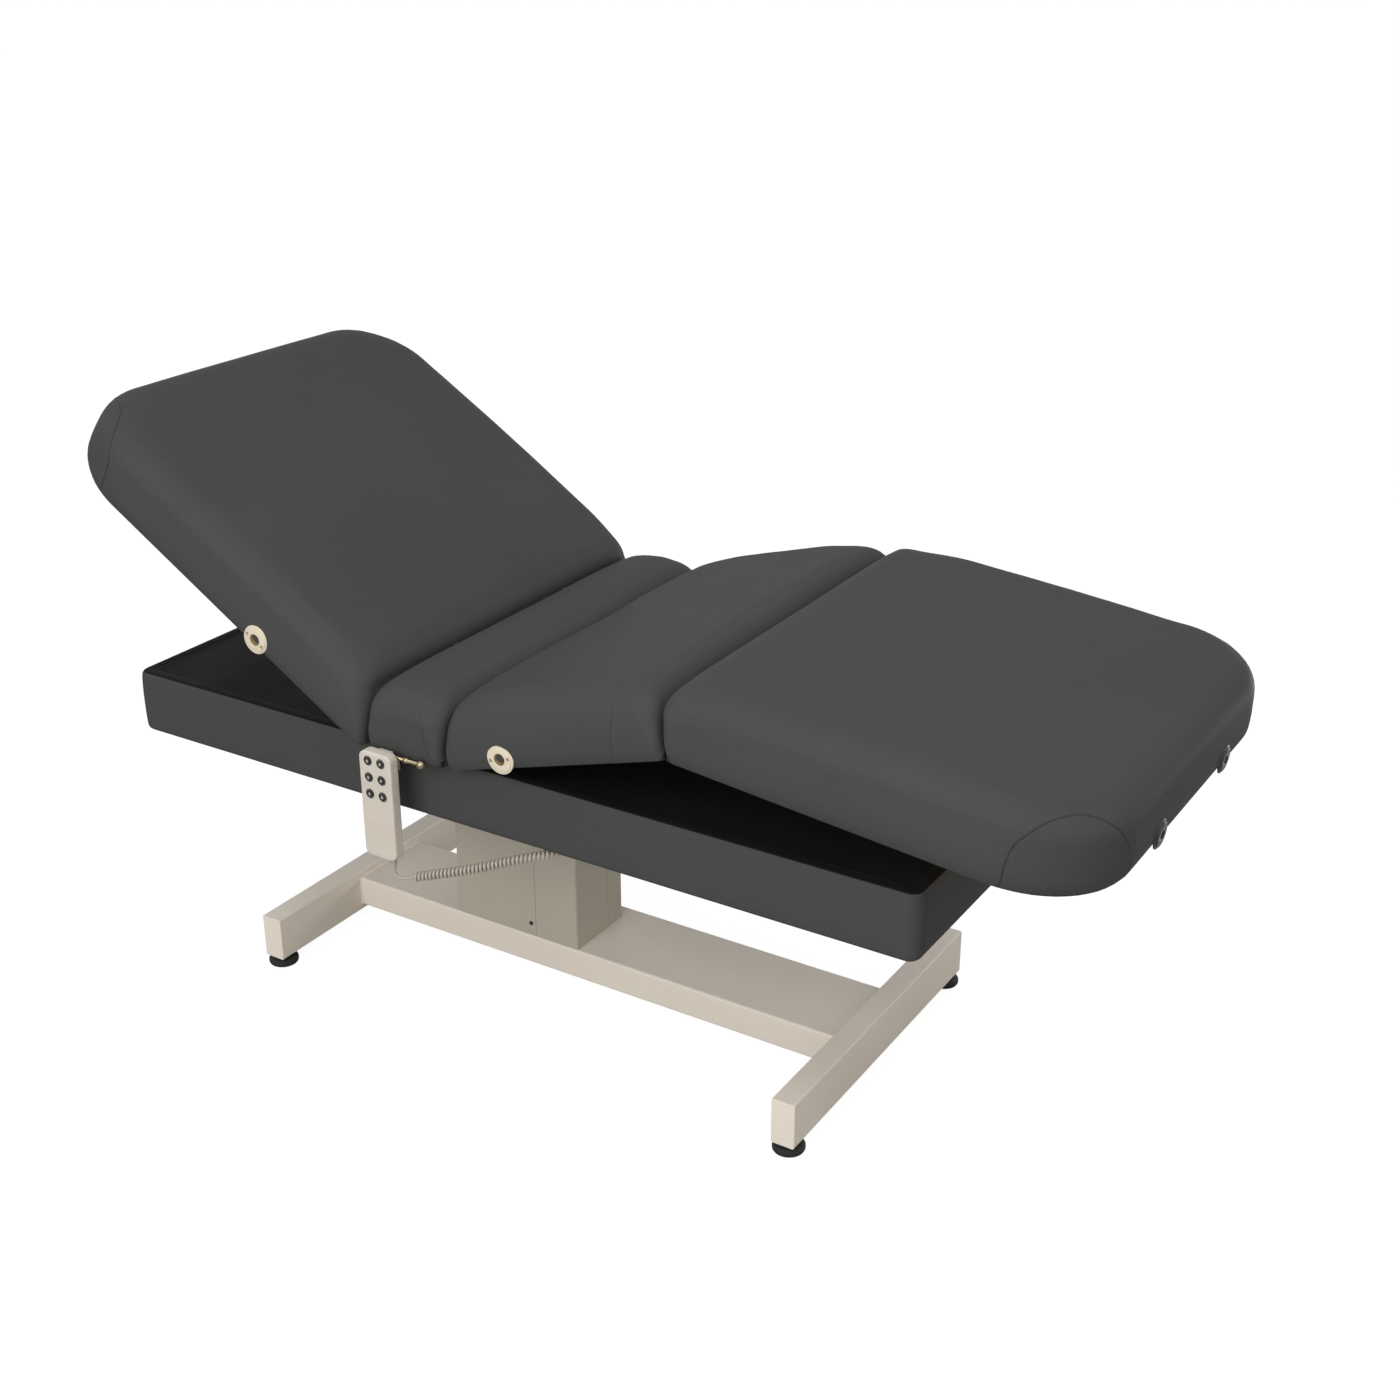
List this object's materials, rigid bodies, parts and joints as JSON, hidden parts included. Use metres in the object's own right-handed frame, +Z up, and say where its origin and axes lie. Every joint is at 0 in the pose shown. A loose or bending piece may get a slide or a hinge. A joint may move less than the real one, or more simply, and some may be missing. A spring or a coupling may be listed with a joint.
{
  "type": "electric massage table",
  "caption": "Electric massage table on a lifting column: padded back, seat, knee and foot sections over a padded skirt, H-shaped base and corded handset.",
  "frame": {"origin": "on the floor under the middle of the outline at rest, without the handset cord", "axes": "+Z up, +X from the head end to the foot end, -Y towards the side with the handset"},
  "size_m": [1.8228, 0.8008, 1.0045],
  "materials": {
    "cream_paint": "cream-white powder coat, satin",
    "cover_paint": "warm grey powder coat on folded sheet, satin",
    "steel": "plain drawn steel",
    "dark_steel": "black powder coat on welded steel",
    "black_rubber": "moulded rubber",
    "grey_vinyl": "charcoal upholstery vinyl with a fine grain",
    "skirt_vinyl": "charcoal upholstery vinyl over padded boards",
    "black_deck": "black laminated board",
    "birch_ply": "birch plywood",
    "cream_plastic": "moulded plastic, cream",
    "black_plastic": "moulded plastic, black",
    "handset_plastic": "moulded plastic, warm light grey",
    "cord_plastic": "soft PVC, warm grey",
    "brass": "brass-coloured wire"
  },
  "bodies": {
    "base": {"head_cross_tube": "cream_paint", "foot_cross_tube": "cream_paint", "base_beam": "cream_paint", "guide_tube_outer": "steel", "lift_actuator": "dark_steel", "column_cover_front_head": "cover_paint", "column_cover_front_foot": "cover_paint", "column_cover_rear": "cover_paint", "column_cover_screw": "dark_steel"},
    "table_top": {"guide_tube_inner": "steel", "lift_actuator_rod": "steel", "column_inner_shroud": "cover_paint", "top_frame": "dark_steel", "deck_panel": "black_deck", "skirt_side_near": "skirt_vinyl", "skirt_side_far": "skirt_vinyl", "skirt_end_head": "skirt_vinyl", "skirt_end_foot": "skirt_vinyl", "seat_board": "birch_ply", "seat_cushion": "grey_vinyl", "seat_hinge_frame": "dark_steel", "back_actuator": "dark_steel", "knee_actuator": "dark_steel", "control_box": "black_plastic", "handset_hook": "brass", "handset_cord": "cord_plastic"},
    "back_section": {"back_board": "birch_ply", "back_cushion": "grey_vinyl", "back_cushion_heel": "grey_vinyl", "back_section_frame": "dark_steel", "back_side_socket_near": "cream_plastic", "back_side_socket_far": "cream_plastic", "head_end_socket_near": "black_plastic", "head_end_socket_far": "black_plastic"},
    "knee_section": {"knee_board": "birch_ply", "knee_cushion": "grey_vinyl", "knee_cushion_heel": "grey_vinyl", "knee_section_frame": "dark_steel", "knee_side_socket_near": "cream_plastic", "knee_side_socket_far": "cream_plastic"},
    "foot_section": {"foot_board": "birch_ply", "foot_cushion": "grey_vinyl", "foot_cushion_nose": "grey_vinyl", "foot_section_frame": "dark_steel", "foot_end_socket_near": "black_plastic", "foot_end_socket_far": "black_plastic"},
    "back_rod": {"back_actuator_rod": "steel"},
    "knee_rod": {"knee_actuator_rod": "steel"},
    "support_link": {"foot_support_link": "dark_steel"},
    "handset": {"handset_shell": "handset_plastic"},
    "foot_pad_head_near": {"leveling_foot_head_near": "black_rubber"},
    "foot_pad_head_far": {"leveling_foot_head_far": "black_rubber"},
    "foot_pad_foot_near": {"leveling_foot_foot_near": "black_rubber"},
    "foot_pad_foot_far": {"leveling_foot_foot_far": "black_rubber"},
    "button_height_up": {"button_height_up": "black_plastic"},
    "button_height_down": {"button_height_down": "black_plastic"},
    "button_back_up": {"button_back_up": "black_plastic"},
    "button_back_down": {"button_back_down": "black_plastic"},
    "button_legs_up": {"button_legs_up": "black_plastic"},
    "button_legs_down": {"button_legs_down": "black_plastic"}
  },
  "joints": [
    {"name": "lift", "type": "slide", "parent": "base", "child": "table_top", "axis": [0, 0, 1], "range_m": [0, 0.23]},
    {"name": "back_hinge", "type": "hinge", "parent": "table_top", "child": "back_section", "pos_m": [-0.27088, 0.01435, 0.6321], "axis": [0, 1, 0], "range_deg": [-32.1, 37.9], "deforming": ["back_cushion_heel"]},
    {"name": "back_actuator_stroke", "type": "slide", "parent": "table_top", "child": "back_rod", "axis": [-1, 0, 0], "range_m": [-0.088, 0.104]},
    {"name": "knee_hinge", "type": "hinge", "parent": "table_top", "child": "knee_section", "pos_m": [-0.12419, 0.01435, 0.6321], "axis": [0, -1, 0], "range_deg": [-16.5, 9.5], "deforming": ["knee_cushion_heel"]},
    {"name": "knee_actuator_stroke", "type": "slide", "parent": "table_top", "child": "knee_rod", "axis": [1, 0, 0], "range_m": [-0.0415, 0.0245]},
    {"name": "foot_hinge", "type": "hinge", "parent": "knee_section", "child": "foot_section", "pos_m": [0.27309, 0.01435, 0.66269], "axis": [0, 1, 0], "range_deg": [-22.6, 13.1], "deforming": ["foot_cushion_nose"]},
    {"name": "support_link_hinge", "type": "hinge", "parent": "table_top", "child": "support_link", "pos_m": [0.04351, 0.01435, 0.506], "axis": [0, -1, 0], "range_deg": [-10.2, 5.9]},
    {"name": "leveling_head_near", "type": "slide", "parent": "base", "child": "foot_pad_head_near", "axis": [0, 0, -1], "range_m": [-0.004, 0.01]},
    {"name": "leveling_head_far", "type": "slide", "parent": "base", "child": "foot_pad_head_far", "axis": [0, 0, -1], "range_m": [-0.004, 0.01]},
    {"name": "leveling_foot_near", "type": "slide", "parent": "base", "child": "foot_pad_foot_near", "axis": [0, 0, -1], "range_m": [-0.004, 0.01]},
    {"name": "leveling_foot_far", "type": "slide", "parent": "base", "child": "foot_pad_foot_far", "axis": [0, 0, -1], "range_m": [-0.004, 0.01]},
    {"name": "handset_lift_off", "type": "slide", "parent": "table_top", "child": "handset", "axis": [0, 0, 1], "range_m": [0, 0.03]},
    {"name": "press_height_up", "type": "slide", "parent": "handset", "child": "button_height_up", "axis": [0, 1, 0], "range_m": [0, 0.0015], "stiffness_N_per_m": 400, "springref_m": -0.001},
    {"name": "press_height_down", "type": "slide", "parent": "handset", "child": "button_height_down", "axis": [0, 1, 0], "range_m": [0, 0.0015], "stiffness_N_per_m": 400, "springref_m": -0.001},
    {"name": "press_back_up", "type": "slide", "parent": "handset", "child": "button_back_up", "axis": [0, 1, 0], "range_m": [0, 0.0015], "stiffness_N_per_m": 400, "springref_m": -0.001},
    {"name": "press_back_down", "type": "slide", "parent": "handset", "child": "button_back_down", "axis": [0, 1, 0], "range_m": [0, 0.0015], "stiffness_N_per_m": 400, "springref_m": -0.001},
    {"name": "press_legs_up", "type": "slide", "parent": "handset", "child": "button_legs_up", "axis": [0, 1, 0], "range_m": [0, 0.0015], "stiffness_N_per_m": 400, "springref_m": -0.001},
    {"name": "press_legs_down", "type": "slide", "parent": "handset", "child": "button_legs_down", "axis": [0, 1, 0], "range_m": [0, 0.0015], "stiffness_N_per_m": 400, "springref_m": -0.001}
  ],
  "couplings": [
    {"joint": "back_actuator_stroke", "follows": "back_hinge", "m_per_rad": 0.1555},
    {"joint": "knee_actuator_stroke", "follows": "knee_hinge", "m_per_rad": 0.1425},
    {"joint": "foot_hinge", "follows": "knee_hinge", "ratio": 1.3606},
    {"joint": "support_link_hinge", "follows": "knee_hinge", "ratio": 0.6105}
  ]
}
